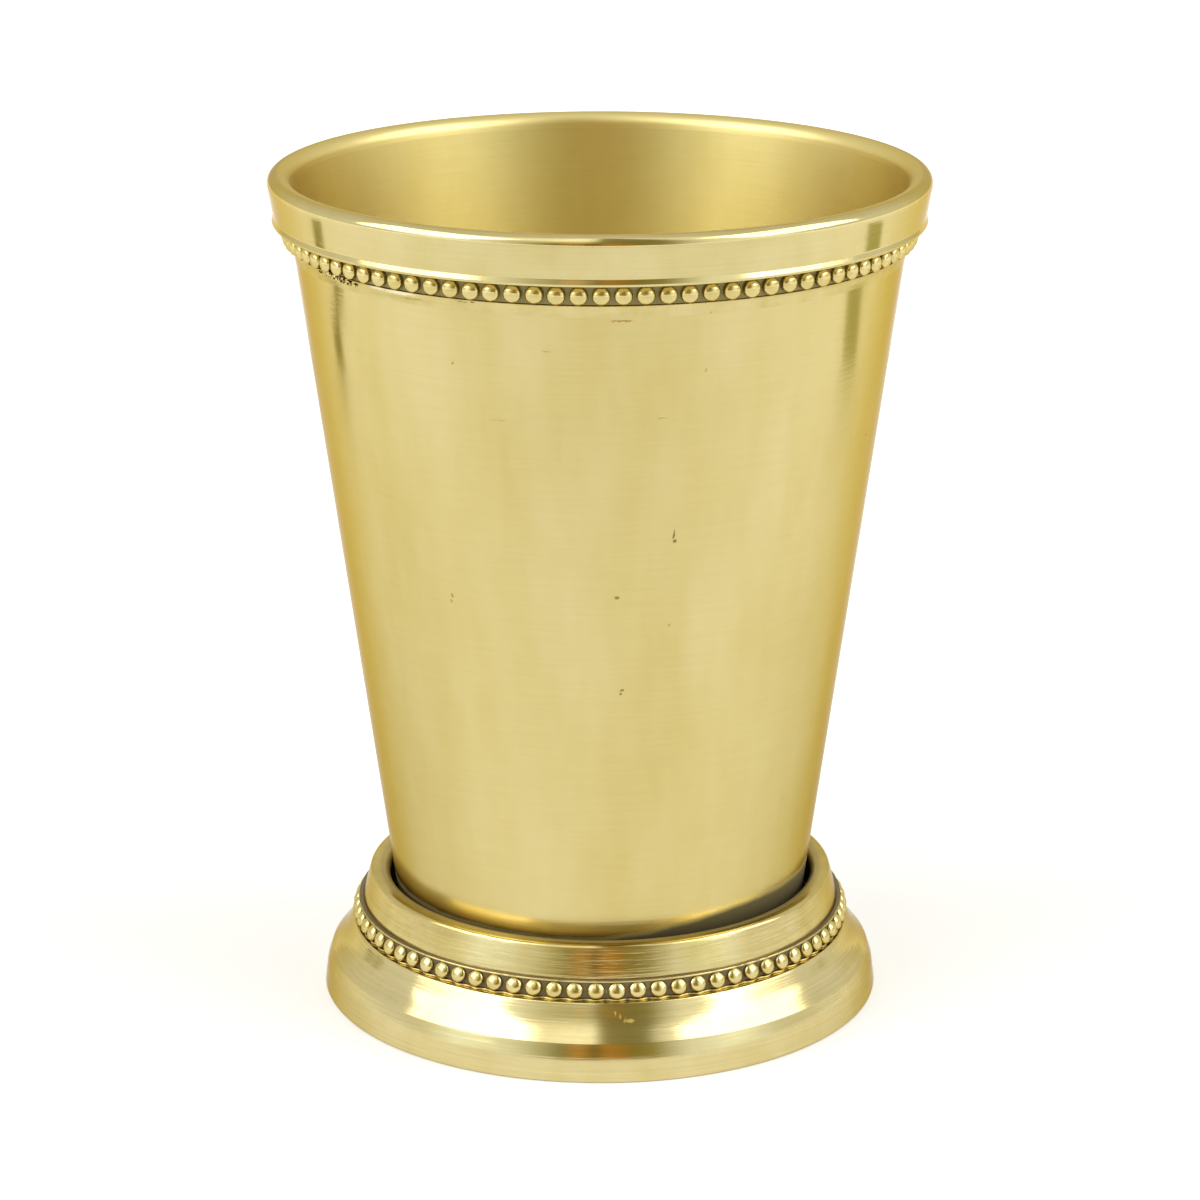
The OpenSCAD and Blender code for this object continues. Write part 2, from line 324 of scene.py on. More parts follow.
def brass(name, finish):
    # brass, an alloy of copper and zinc: a pale gold mirror that patina darkens to olive brown
    finish = commonBrass | finish
    material, tree = emptyMaterial(name)
    place = addNode(tree, "ShaderNodeTexCoord").outputs["Object"]

    # clouds of handling and polish, some millimetres across
    cloudScale = 1 / (finish["cloudSize"] * mm)
    spread = addNode(tree, "ShaderNodeMapping", {
        "Vector": place, "Scale": (cloudScale, cloudScale, cloudScale / finish["cloudTall"]),
    })
    cloud = addNode(
        tree, "ShaderNodeTexNoise", {"Vector": spread.outputs[0], "Scale": 1, "Detail": 4, "Roughness": 0.6}
    )
    cloud = addNode(tree, "ShaderNodeMapRange", {
        "Value": cloud.outputs[0], "From Min": finish["cloudFrom"], "From Max": finish["cloudTo"],
    }).outputs[0]
    tone = addNode(tree, "ShaderNodeMix", {
        0: cloud, 6: linearColour(finish["pale"]), 7: linearColour(finish["deep"]),
    }, data_type="RGBA")
    colour = tone.outputs[2]

    # turned lines: noise drawn out round the cup, a little coarser than the real ones so that they show
    along = 1 / (finish["lineLength"] * mm)
    spread = addNode(
        tree, "ShaderNodeMapping", {"Vector": place, "Scale": (along, along, 1 / (finish["lineStep"] * mm))}
    )
    lines = addNode(
        tree, "ShaderNodeTexNoise", {"Vector": spread.outputs[0], "Scale": 1, "Detail": 3, "Roughness": 0.65}
    )
    shade = addNode(tree, "ShaderNodeMapRange", {
        "Value": lines.outputs[0], "From Min": finish["lineFrom"], "From Max": finish["lineTo"],
        "To Min": 1 - finish["lineShade"], "To Max": 1,
    })
    shaded = addNode(
        tree, "ShaderNodeMix", {0: 1.0, 6: colour, 7: shade.outputs[0]},
        data_type="RGBA", blend_type="MULTIPLY",
    )
    colour = shaded.outputs[2]

    # specks: pin marks of tarnish, scattered and uneven
    dots = addNode(tree, "ShaderNodeTexVoronoi", {"Vector": place, "Scale": 1 / (finish["speckStep"] * mm)})
    speckEnd = finish["speckSize"] / finish["speckStep"]
    dotMark = addNode(tree, "ShaderNodeMapRange", {
        "Value": dots.outputs["Distance"], "From Min": speckEnd / 2, "From Max": speckEnd,
        "To Min": finish["speckDark"], "To Max": 0,
    })
    chosen = addNode(tree, "ShaderNodeSeparateColor", {0: dots.outputs["Color"]})
    chosen = addNode(
        tree, "ShaderNodeMath", {0: chosen.outputs[0], 1: finish["speckShare"]}, operation="LESS_THAN"
    )
    speck = addNode(
        tree, "ShaderNodeMath", {0: dotMark.outputs[0], 1: chosen.outputs[0]}, operation="MULTIPLY"
    )
    specked = addNode(
        tree, "ShaderNodeMix", {0: speck.outputs[0], 6: colour, 7: linearColour(finish["tarnish"])},
        data_type="RGBA",
    )
    colour = specked.outputs[2]

    # single marks, each uneven at its edge: pits, scratches and a chip of this cup, and a painted highlight
    # on the solder
    if "marks" in finish:
        grain = 1 / (finish["markRagged"] * mm)
        jitter = addNode(tree, "ShaderNodeTexNoise", {"Vector": place, "Scale": grain, "Detail": 2})
        jitter = addNode(
            tree, "ShaderNodeVectorMath", {0: jitter.outputs["Color"], 1: (0.5,) * 3}, operation="SUBTRACT"
        )
        stray = (finish["markStray"] * mm,) * 3
        ragged = addNode(
            tree, "ShaderNodeVectorMath", {0: jitter.outputs[0], 1: stray, 2: place}, operation="MULTIPLY_ADD"
        )
        anyMark = 0
        for centre, width, height, tone in finish["marks"]:
            size = (width * mm, width * mm, height * mm)
            away = addNode(
                tree, "ShaderNodeVectorMath", {0: ragged.outputs[0], 1: [c * mm for c in centre]},
                operation="SUBTRACT",
            )
            away = addNode(tree, "ShaderNodeVectorMath", {0: away.outputs[0], 1: size}, operation="DIVIDE")
            away = addNode(tree, "ShaderNodeVectorMath", {0: away.outputs[0]}, operation="LENGTH")
            mark = addNode(tree, "ShaderNodeMapRange", {
                "Value": away.outputs["Value"], "From Min": finish["markFull"],
                "From Max": finish["markEnd"], "To Min": finish["markStrength"], "To Max": 0,
            }).outputs[0]
            marked = addNode(
                tree, "ShaderNodeMix", {0: mark, 6: colour, 7: linearColour(tone)}, data_type="RGBA"
            )
            colour = marked.outputs[2]
            most = addNode(tree, "ShaderNodeMath", {0: mark, 1: anyMark}, operation="MAXIMUM")
            anyMark = most.outputs[0]

    # patina where polish doesn't reach, and on the cup's wall also painted shade of the crevice, by the
    # piece's
    # rule: a thin film where weak, dark where full
    dull = None
    if "patina" in finish:
        dull = finish["patina"](tree, place)
        film = linearColour(finish["tarnish"])
        if "thinTarnish" in finish:
            thin = linearColour(finish["thinTarnish"])
            film = addNode(tree, "ShaderNodeMix", {0: dull, 6: thin, 7: film}, data_type="RGBA").outputs[2]
        aged = addNode(tree, "ShaderNodeMix", {0: dull, 6: colour, 7: film}, data_type="RGBA")
        colour = aged.outputs[2]

    rough = addNode(tree, "ShaderNodeMapRange", {
        "Value": cloud, "To Min": finish["roughFrom"], "To Max": finish["roughTo"],
    }).outputs[0]
    if "marks" in finish:
        worn = addNode(
            tree, "ShaderNodeMix", {0: anyMark, 2: rough, 3: finish["markRough"]}, data_type="FLOAT"
        )
        rough = worn.outputs[0]
    if "polishedAbove" in finish:
        low, high, share = finish["polishedAbove"]
        height = addNode(tree, "ShaderNodeSeparateXYZ", {0: place}).outputs["Z"]
        shine = addNode(tree, "ShaderNodeMapRange", {
            "Value": height, "From Min": low * mm, "From Max": high * mm, "To Min": 1, "To Max": share,
        }, **smooth)
        worn = addNode(tree, "ShaderNodeMath", {0: rough, 1: shine.outputs[0]}, operation="MULTIPLY")
        rough = worn.outputs[0]
    metallic = 1.0
    if dull:
        worn = addNode(
            tree, "ShaderNodeMix", {0: dull, 2: rough, 3: finish["patinaRough"]}, data_type="FLOAT"
        )
        rough = worn.outputs[0]
        if finish["patinaMetal"] < 1:
            metallic = addNode(
                tree, "ShaderNodeMix", {0: dull, 2: 1.0, 3: finish["patinaMetal"]}, data_type="FLOAT"
            ).outputs[0]
    relief = addNode(tree, "ShaderNodeBump", {
        "Height": lines.outputs[0], "Strength": finish["lineBump"], "Distance": finish["lineStep"] * mm,
    })
    around = addNode(tree, "ShaderNodeTangent", direction_type="RADIAL", axis="Z")
    surface = addNode(tree, "ShaderNodeBsdfPrincipled", {
        "Base Color": colour,
        "Metallic": metallic,
        "Roughness": rough,
        "Specular Tint": linearColour(finish["edgeTint"]),
        "Anisotropic": finish["drawnOut"],
        "Anisotropic Rotation": finish["quarterTurn"],
        "Normal": relief.outputs[0],
        "Tangent": around.outputs[0],
    })
    addNode(tree, "ShaderNodeOutputMaterial", {"Surface": surface.outputs[0]})
    return material


def wobble(angle, height, work):
    # handwork: the metal lies a few hundredths of a millimetre inside the true circle
    waves = sum(math.sin(count * angle + start + height * climb) for count, start, climb in work["waves"])
    return work["depth"] * (0.5 + 0.5 * waves / len(work["waves"]))


def roundedOutline(corners, work):
    # corners are radius, height and rounding in mm; rounded ones become arcs, long straight runs get rows
    steps = work["arcSteps"]
    points = []
    for index, (radius, height, rounding) in enumerate(corners):
        at = Vector((radius, height))
        if rounding == 0:
            points.append(at)
            continue
        toLast = (Vector(corners[index - 1][:2]) - at).normalized()
        toNext = (Vector(corners[(index + 1) % len(corners)][:2]) - at).normalized()
        half = toLast.angle(toNext) / 2
        middle = at + (toLast + toNext).normalized() * rounding / math.sin(half)
        first = at + toLast * rounding / math.tan(half) - middle
        last = at + toNext * rounding / math.tan(half) - middle
        points += [
            middle + rounding * first.slerp(last, step / steps).normalized() for step in range(steps + 1)
        ]
    outline = []
    for index, point in enumerate(points):
        nextPoint = points[(index + 1) % len(points)]
        rows = max(1, math.ceil((nextPoint - point).length / work["rowStep"]))
        if point.x == 0 and nextPoint.x == 0:
            rows = 1
        outline += [point.lerp(nextPoint, row / rows) for row in range(rows)]
    return outline


def turn(outline, work):
    # turns an outline of radius and height in mm about the upright axis into a closed skin
    mesh = bmesh.new()
    around = work["around"]
    rings = []
    for point in outline:
        if point.x == 0:
            rings.append([mesh.verts.new((0, 0, point.y * mm))])
            continue
        ring = []
        for step in range(around):
            angle = 2 * math.pi * step / around
            radius = (point.x - wobble(angle, point.y, work)) * mm
            ring.append(mesh.verts.new((radius * math.cos(angle), radius * math.sin(angle), point.y * mm)))
        rings.append(ring)
    for index, ring in enumerate(rings):
        last = rings[index - 1]
        for step in range(around):
            following = (step + 1) % around
            if len(ring) == 1 and len(last) == 1:
                break
            if len(ring) == 1:
                mesh.faces.new((last[step], last[following], ring[0]))
            elif len(last) == 1:
                mesh.faces.new((last[0], ring[following], ring[step]))
            else:
                mesh.faces.new((last[step], last[following], ring[following], ring[step]))
    return mesh


def finishPiece(name, mesh, node, materials, sharpAngle=28):
    bmesh.ops.recalc_face_normals(mesh, faces=mesh.faces)
    for face in mesh.faces:
        face.smooth = True
    data = bpy.data.meshes.new(name)
    mesh.to_mesh(data)
    mesh.free()
    data.set_sharp_from_angle(angle=math.radians(sharpAngle))
    for material in materials:
        data.materials.append(material)
    piece = addObject(name, data)
    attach(piece, "root")
    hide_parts(node)
    print(name, "made:", len(data.polygons), "faces")


# The cone that the cup's wall follows, from its flat bottom to the height of the lip
cone = {
    "seat": 10.2,
    "bottomRadius": 26.25,
    "lip": cadHigh.z / mm,
    "lipRadius": 39.8,
    "wall": 0.9,
}
cone["slope"] = (cone["lipRadius"] - cone["bottomRadius"]) / (cone["lip"] - cone["seat"])
cone["wallAcross"] = cone["wall"] * math.hypot(1, cone["slope"])


def coneRadius(height):
    return cone["bottomRadius"] + (height - cone["seat"]) * cone["slope"]


def innerRadius(height):
    return coneRadius(height) - cone["wallAcross"]


def reachAndHeight(tree, place):
    # how far from the upright axis, and how high
    parts = addNode(tree, "ShaderNodeSeparateXYZ", {0: place}).outputs
    flat = addNode(tree, "ShaderNodeCombineXYZ", {0: parts["X"], 1: parts["Y"]})
    reach = addNode(tree, "ShaderNodeVectorMath", {0: flat.outputs[0]}, operation="LENGTH")
    return reach.outputs["Value"], parts["Z"]


# Drawn cup
cup = {
    "edgeDown": 1.9,  # from the lip, where the band covers the cut edge
    "corner": 2.2,
    "arcSteps": 10,
    "rowStep": 1.6,
    "around": 288,
    "depth": 0.06,
    "waves": [(5, 0.4, 0.02), (9, 2.1, -0.015), (14, 4.4, 0.01), (23, 1.2, 0.02)],
    "finish": {
        "pale": "#D6C68C",
        "deep": "#CEBC7A",
        # the tarnish tones also colour the painted shade of the foot's crevice
        "tarnish": "#4E4838",
        "thinTarnish": "#A2923C",
        "cloudSize": 12,
        "cloudTall": 4,
        "lineLength": 9,
        "lineStep": 0.35,
        "lineShade": 0.04,
        "lineBump": 0.03,
        "speckStep": 6.5,
        "speckSize": 0.28,
        "speckShare": 0.35,
        "speckDark": 0.55,
        "roughFrom": 0.2,
        "roughTo": 0.26,
        "edgeTint": "#CDB98A",
        "patinaRough": 0.55,
        "patinaMetal": 0.3,
        "drawnOut": 0.35,
    },
    # grime and painted shade on the wall in the foot's crevice, in mm: it ends over spread above height, and
    # by rise higher at the front right, from the first to the second place across and towards the front
    "grimeAndShade": {
        "height": 14.6,
        "spread": 1.2,
        "rise": 2.5,
        "across": (-3, 21),
        "front": (12, -4),
        "unevenStep": 3.5,
        "unevenRise": 0.6,
        "deepest": 0.95,
    },
    "outsideFinish": {
        # mm up, and share of the roughness: the wheel that polished the band ran here too
        "polishedAbove": (85, 90, 0.6),
        # centre, width, height and tone of the pits and scratches on the front
        "marks": [
            ((8.88, -33.34, 69.9), 0.36, 2.2, "#6B5A22"), ((9.0, -33.2, 69.3), 0.6, 0.5, "#6B5A22"),
            ((-18.0, -27.9, 60.9), 0.34, 0.6, "#8A7A3C"), ((-18.1, -27.8, 60.1), 0.4, 0.5, "#8A7A3C"),
            ((2.05, -33.38, 62.22), 0.6, 0.5, "#85753A"), ((2.68, -31.59, 49.9), 0.65, 0.36, "#75652E"),
            ((2.5, -31.5, 49.5), 0.42, 0.6, "#75652E"), ((12.51, -35.24, 90.78), 0.26, 0.8, "#8A7A40"),
            ((-17.53, -33.09, 91.23), 0.5, 0.45, "#9A8A50"), ((2.6, -38.2, 97.5), 3.2, 0.3, "#A37B30"),
            ((-6.3, -37.1, 93.6), 1.5, 0.18, "#B0A062"), ((7.4, -36.1, 85.2), 1.7, 0.16, "#B0A062"),
            ((-12.2, -34.7, 84.6), 2.6, 0.16, "#B5A568"),
        ],
    },
    # the inside is left as it was drawn and only wiped, so it is duller and a deeper gold
    "insideFinish": {
        "pale": "#DFD092",
        "deep": "#D9C882",
        "roughFrom": 0.36,
        "roughTo": 0.42,
        "edgeTint": "#D2BE70",
        "drawnOut": 0.0,
        "speckShare": 0.5,
    },
}
cup["edge"] = cone["lip"] - cup["edgeDown"]


def grimeAndShadeBelow(tree, place):
    # polish and dust dry in the crevice and darken the cup's wall, unevenly and highest at the front right;
    # the darkening is also a painted shade of the crevice
    grimeAndShade = cup["grimeAndShade"]
    parts = addNode(tree, "ShaderNodeSeparateXYZ", {0: place}).outputs
    across, fullAcross = grimeAndShade["across"]
    side = addNode(tree, "ShaderNodeMapRange", {
        "Value": parts["X"], "From Min": across * mm, "From Max": fullAcross * mm,
        "To Max": grimeAndShade["rise"] * mm,
    }, **smooth)
    back, fullFront = grimeAndShade["front"]
    front = addNode(tree, "ShaderNodeMapRange", {
        "Value": parts["Y"], "From Min": back * mm, "From Max": fullFront * mm,
    }, **smooth)
    lift = addNode(tree, "ShaderNodeMath", {0: side.outputs[0], 1: front.outputs[0]}, operation="MULTIPLY")
    uneven = addNode(
        tree, "ShaderNodeTexNoise", {"Vector": place, "Scale": 1 / (grimeAndShade["unevenStep"] * mm), "Detail": 4}
    )
    lift = addNode(
        tree, "ShaderNodeMath", {0: uneven.outputs[0], 1: grimeAndShade["unevenRise"] * mm, 2: lift.outputs[0]},
        operation="MULTIPLY_ADD",
    )
    over = addNode(tree, "ShaderNodeMath", {0: parts["Z"], 1: lift.outputs[0]}, operation="SUBTRACT")
    return addNode(tree, "ShaderNodeMapRange", {
        "Value": over.outputs[0], "From Min": grimeAndShade["height"] * mm,
        "From Max": (grimeAndShade["height"] + grimeAndShade["spread"]) * mm, "To Min": grimeAndShade["deepest"], "To Max": 0,
    }, **smooth).outputs[0]


def makeCup():
    floor = cone["seat"] + cone["wall"]
    corners = [
        (0, cone["seat"], 0),
        (cone["bottomRadius"], cone["seat"], cup["corner"]),
        (coneRadius(cup["edge"]), cup["edge"], 0),
        (innerRadius(cup["edge"]), cup["edge"], 0),
        (innerRadius(floor), floor, cup["corner"] - cone["wall"]),
        (0, floor, 0),
    ]
    mesh = turn(roundedOutline(corners, cup), cup)
    for face in mesh.faces:
        place = face.calc_center_median() / mm
        middle = coneRadius(place.z) - cone["wallAcross"] / 2
        within = place.z > cone["seat"] + cone["wall"] / 2 and math.hypot(place.x, place.y) < middle
        face.material_index = 1 if within else 0
    outside = cup["finish"] | cup["outsideFinish"] | {"patina": grimeAndShadeBelow}
    inside = cup["finish"] | cup["insideFinish"]
    materials = [brass("satinBrass", outside), brass("dullBrassInside", inside)]
    finishPiece("cupBody", mesh, "cup_body", materials)


# Band round the mouth
band = {
    "height": 6.1,
    "topOut": 2.05,
    "lowOut": 1.85,
    "outerRounding": 1.15,
    "innerRounding": 1.6,
    "rollOut": 0.3,  # the lower edge stands out a little where it was rolled
    "rollCrest": 0.3,
    "rollHeight": 0.9,
    "rollStart": 0.7,  # share of the roll that the underside has
    "rollRoundings": (0.12, 0.15, 0.35),  # under it, on its crest and above it
    "satinFull": 0.25,  # mm out from the wall's cone, where the inside's satin is full and where it ends
    "satinEnd": 0.9,
    "arcSteps": 12,
    "rowStep": 0.7,
    "around": 288,
    "depth": 0.05,
    "waves": [(4, 1.0, 0.1), (7, 0.3, 0.12), (11, 3.3, 0.1)],
    "finish": {
        "pale": "#D8C992",
        "deep": "#D0C082",
        "tarnish": "#E0CF8C",
        "cloudSize": 9,
        "lineStep": 0.3,
        "lineShade": 0.05,
        "lineBump": 0.02,
        "speckDark": 0.4,
        "roughFrom": 0.1,
        "roughTo": 0.15,
        "patinaRough": 0.4,
        "patinaMetal": 1,
        "drawnOut": 0.3,
    },
}


def satinInside(tree, place):
    # the top and the inner side of the band are as satin as the cup's inside, measured out from the cone
    reach, height = reachAndHeight(tree, place)
    wall = addNode(
        tree, "ShaderNodeMath", {0: height, 1: cone["slope"], 2: coneRadius(0) * mm}, operation="MULTIPLY_ADD"
    )
    out = addNode(tree, "ShaderNodeMath", {0: reach, 1: wall.outputs[0]}, operation="SUBTRACT")
    return addNode(tree, "ShaderNodeMapRange", {
        "Value": out.outputs[0], "From Min": band["satinFull"] * mm, "From Max": band["satinEnd"] * mm,
        "To Min": 1, "To Max": 0,
    }, **smooth).outputs[0]


def makeBand():
    low = cone["lip"] - band["height"]
    crest = low + band["rollCrest"]
    aboveRoll = low + band["rollHeight"]
    under, onCrest, above = band["rollRoundings"]
    corners = [
        (coneRadius(low), low, 0),
        (coneRadius(low) + band["lowOut"] + band["rollStart"] * band["rollOut"], low, under),
        (coneRadius(crest) + band["lowOut"] + band["rollOut"], crest, onCrest),
        (coneRadius(aboveRoll) + band["lowOut"], aboveRoll, above),
        (coneRadius(cone["lip"]) + band["topOut"], cone["lip"], band["outerRounding"]),
        (innerRadius(cone["lip"]), cone["lip"], band["innerRounding"]),
        (innerRadius(cup["edge"]), cup["edge"], 0),
        (coneRadius(cup["edge"]), cup["edge"], 0),
    ]
    mesh = turn(roundedOutline(corners, band), band)
    finish = band["finish"] | {"patina": satinInside}
    finishPiece("rimBand", mesh, "rim_band", [brass("polishedBrass", finish)])


# Beaded wire, the same round the rim and the foot
bead = {
    "diameter": 2.24,
    "relief": 0.56,  # how far a bead stands out, as a share of its radius
    "pitch": 2.64,
    "stripThickness": 0.42,
    "out": 0.6,
    "edgeOut": 0.6,
    "edgeHeight": 0.25,
    "ringSteps": 20,
    "poleSteps": 10,
    "stepsPerBead": 8,
    "deepest": 0.95,  # share of its height that a bead's skin may reach into the strip
    "edgeRounding": 0.1,
    "innerRounding": 0.08,
    "edgeSlack": 0.05,
    "arcSteps": 4,
    "rowStep": 1.0,
    "depth": 0.03,
    "waves": [(6, 0.2, 0.0), (13, 1.7, 0.0)],
    "unevenSize": 0.03,  # share of the diameter
    "unevenPlace": 0.04,
    "patinaStep": 1.1,  # mm, how fine the patina's unevenness is, and how far it goes
    "patinaUneven": 0.3,
    "patinaEdge": (0.02, 0.16),  # mm out from the strip's front, where it is full and where it ends
    "finish": {
        "pale": "#DDCD90",
        "deep": "#D3C07C",
        "cloudSize": 3,
        "lineLength": 1.5,
        "lineStep": 0.4,
        "lineShade": 0.08,
        "lineBump": 0.04,
        "speckStep": 3,
        "speckShare": 0.3,
        "roughFrom": 0.13,
        "roughTo": 0.2,
        "patinaRough": 0.45,
        "patinaMetal": 0.4,
        "drawnOut": 0.0,
    },
}


def beadCount(backRadius):
    return round(2 * math.pi * (backRadius + bead["out"]) / bead["pitch"])


def scallopEdge(mesh, backRadius, low, wire):
    # the punch that raised the beads also pushed the strip's lower edge out under each one
    count = beadCount(backRadius)
    edgeTop = low + bead["edgeHeight"] + bead["edgeSlack"]
    edgeBack = backRadius + bead["stripThickness"] + bead["edgeSlack"]
    for vert in mesh.verts:
        radius = math.hypot(vert.co.x, vert.co.y) / mm
        if vert.co.z / mm > edgeTop or radius < edgeBack:
            continue
        phase = count * math.atan2(vert.co.y, vert.co.x) - 2 * math.pi * wire["turnShare"]
        vert.co.xy *= (radius + wire["scallop"] * (0.5 + 0.5 * math.cos(phase))) / radius


def addBeads(mesh, backRadius, height, wire, luck):
    count = beadCount(backRadius)
    lean = math.radians(wire["tippedUp"])
    for index in range(count):
        radius = bead["diameter"] / 2 * (1 - bead["unevenSize"] * luck.random())
        sunk = bead["out"] - bead["stripThickness"] / 2 + radius * math.sin(lean)
        lowest = math.acos(-min(bead["deepest"], sunk / (bead["relief"] * radius)))
        angle = 2 * math.pi * (index + wire["turnShare"]) / count
        angle += luck.uniform(-1, 1) * bead["unevenPlace"] / backRadius
        centreZ = height + luck.uniform(-1, 1) * bead["unevenPlace"]
        outward = Vector((math.cos(angle), math.sin(angle), 0))
        sideways = Vector((-math.sin(angle), math.cos(angle), 0))
        centre = outward * (backRadius + bead["out"]) + Vector((0, 0, centreZ))
        facing = outward * math.cos(lean) + Vector((0, 0, math.sin(lean)))
        upward = Vector((0, 0, math.cos(lean))) - outward * math.sin(lean)
        crown = mesh.verts.new((centre + facing * bead["relief"] * radius) * mm)
        last = None
        for pole in range(1, bead["poleSteps"] + 1):
            tilt = lowest * pole / bead["poleSteps"]
            ring = []
            for step in range(bead["ringSteps"]):
                spin = 2 * math.pi * step / bead["ringSteps"]
                across = sideways * math.cos(spin) + upward * math.sin(spin)
                out = facing * bead["relief"] * radius * math.cos(tilt)
                ring.append(mesh.verts.new((centre + out + across * radius * math.sin(tilt)) * mm))
            for step in range(bead["ringSteps"]):
                following = (step + 1) % bead["ringSteps"]
                if last is None:
                    mesh.faces.new((crown, ring[step], ring[following]))
                else:
                    mesh.faces.new((last[step], ring[step], ring[following], last[following]))
            last = ring
        mesh.faces.new(list(reversed(last)))


def patinaBehind(frontRadius, deepest):
    # tarnish stays between the beads, deeper than their crowns
    def rule(tree, place):
        reach = reachAndHeight(tree, place)[0]
        grain = 1 / (bead["patinaStep"] * mm)
        uneven = addNode(tree, "ShaderNodeTexNoise", {"Vector": place, "Scale": grain, "Detail": 3})
        stray = bead["patinaUneven"] * mm
        front = addNode(
            tree, "ShaderNodeMath", {0: uneven.outputs[0], 1: stray, 2: frontRadius * mm - stray / 2},
            operation="MULTIPLY_ADD",
        )
        depth = addNode(tree, "ShaderNodeMath", {0: reach, 1: front.outputs[0]}, operation="SUBTRACT")
        start, end = bead["patinaEdge"]
        return addNode(tree, "ShaderNodeMapRange", {
            "Value": depth.outputs[0], "From Min": start * mm, "From Max": end * mm,
            "To Min": deepest, "To Max": 0,
        }, **smooth).outputs[0]
    return rule


def makeWire(name, node, brassName, wire, corners, back, row):
    # the strip with its row of beads, in brass with the tarnish of its place
    mesh = turn(roundedOutline(corners, bead), bead | {"around": beadCount(back) * bead["stepsPerBead"]})
    if "scallop" in wire:
        scallopEdge(mesh, back, corners[0][1], wire)
    addBeads(mesh, back, row, wire, random.Random(wire["seed"]))
    aged = patinaBehind(back + bead["stripThickness"], wire["patinaDeepest"])
    material = brass(brassName, bead["finish"] | {"tarnish": wire["tarnish"], "patina": aged})
    finishPiece(name, mesh, node, [material], sharpAngle=40)


# Wire under the band, on the cone of the cup's wall
rimWire = {
    "stripHeight": 2.6,
    "beadDown": 1.4,
    "lowRounding": 0.15,
    "turnShare": 0.55,
    "tippedUp": 0,
    "seed": 11,
    "patinaDeepest": 0.8,
    "tarnish": "#6A613A",
}


def makeRimWire():
    top = cone["lip"] - band["height"]
    low = top - rimWire["stripHeight"]
    row = top - rimWire["beadDown"]
    back = coneRadius(row)
    front = back + bead["stripThickness"]
    edge = back + bead["edgeOut"]
    corners = [
        (coneRadius(low), low, 0),
        (coneRadius(low) + bead["stripThickness"], low, rimWire["lowRounding"]),
        (front, top - bead["edgeHeight"], 0),
        (edge, top - bead["edgeHeight"], bead["innerRounding"]),
        (edge, top, bead["edgeRounding"]),
        (coneRadius(top), top, 0),
    ]
    makeWire("rimBeadWire", "rim_bead_wire", "rimBeadBrass", rimWire, corners, back, row)


# Upright collar of the foot, with the floor that carries the cup
collar = {
    "low": 9.2,
    "height": 6.7,
    "gap": 0.46,
    "wall": 2.6,
    "outerRounding": 0.55,
    "innerRounding": 0.8,
    "offCentre": 0.06,  # how far the hole lies off, towards the place where the lip is thinnest
    "thinnestAt": -12,  # degrees from the right-hand side, towards the front
    "lowOut": 1.1,
    "bore": 21,
    "floorSlack": 0.2,
    # mm in from the outside and mm down from the top where the film and the grime start and are full
    "filmIn": (0.7, 1.5),
    "grimeDown": (0.6, 1.5),
    "grimeShare": (0.45, 0.92),  # at the top and deep in the crevice
    "arcSteps": 10,
    "rowStep": 0.8,
    "around": 288,
    "depth": 0.05,
    "waves": [(3, 0.5, 0.1), (8, 2.0, 0.1), (13, 5.1, 0.05)],
    "finish": {
        "pale": "#DBCA90",
        "deep": "#D0BC78",
        "tarnish": "#4A4330",
        "thinTarnish": "#96803C",
        "cloudSize": 7,
        "lineStep": 0.42,
        "lineShade": 0.2,
        "lineBump": 0.14,
        "roughFrom": 0.14,
        "roughTo": 0.2,
        "patinaRough": 0.6,
        "patinaMetal": 0.3,
    },
}
collar["top"] = collar["low"] + collar["height"]
collar["topRadius"] = coneRadius(collar["top"]) + collar["gap"] + collar["wall"]
collar["lowRadius"] = collar["topRadius"] + collar["lowOut"]


def grimeInside(tree, place):
    # the collar's lip wears a thin brown film towards its hole, and its hidden side keeps the grime
    reach, height = reachAndHeight(tree, place)
    filmStart, filmFull = collar["filmIn"]
    inward = addNode(tree, "ShaderNodeMapRange", {
        "Value": reach, "From Min": (collar["topRadius"] - filmStart) * mm,
        "From Max": (collar["topRadius"] - filmFull) * mm,
    }, **smooth)
    grimeStart, grimeFull = collar["grimeDown"]
    thin, thick = collar["grimeShare"]
    deep = addNode(tree, "ShaderNodeMapRange", {
        "Value": height, "From Min": (collar["top"] - grimeStart) * mm,
        "From Max": (collar["top"] - grimeFull) * mm, "To Min": thin, "To Max": thick,
    }, **smooth)
    both = addNode(tree, "ShaderNodeMath", {0: inward.outputs[0], 1: deep.outputs[0]}, operation="MULTIPLY")
    return both.outputs[0]


def makeCollar():
    seam = collar["low"] + footWire["stripHeight"]
    corners = [
        (collar["bore"], collar["low"], 0),
        (collar["lowRadius"], collar["low"], 0),
        (collar["lowRadius"], seam, 0),
        (collar["topRadius"], collar["top"], collar["outerRounding"]),
        (collar["topRadius"] - collar["wall"], collar["top"], collar["innerRounding"]),
        (collar["lowRadius"] - collar["wall"], cone["seat"], 0),
        (collar["bore"], cone["seat"], 0),
    ]
    mesh = turn(roundedOutline(corners, collar), collar)
    # the ring's hole lies a few hundredths of a millimetre off centre
    for vert in mesh.verts:
        height = vert.co.z / mm
        if height < cone["seat"] + collar["floorSlack"]:
            continue
        radius = math.hypot(vert.co.x, vert.co.y) / mm
        outside = collar["topRadius"] + (collar["top"] - height) / collar["height"] * collar["lowOut"]
        depth = min(1, max(0, (outside - radius) / collar["wall"]))
        turned = math.atan2(vert.co.y, vert.co.x) - math.radians(collar["thinnestAt"])
        cut = collar["offCentre"] * depth * math.cos(turned)
        vert.co.xy *= (radius + cut) / radius
    finish = collar["finish"] | {"patina": grimeInside}
    finishPiece("footCollar", mesh, "foot_collar", [brass("turnedBrass", finish)])


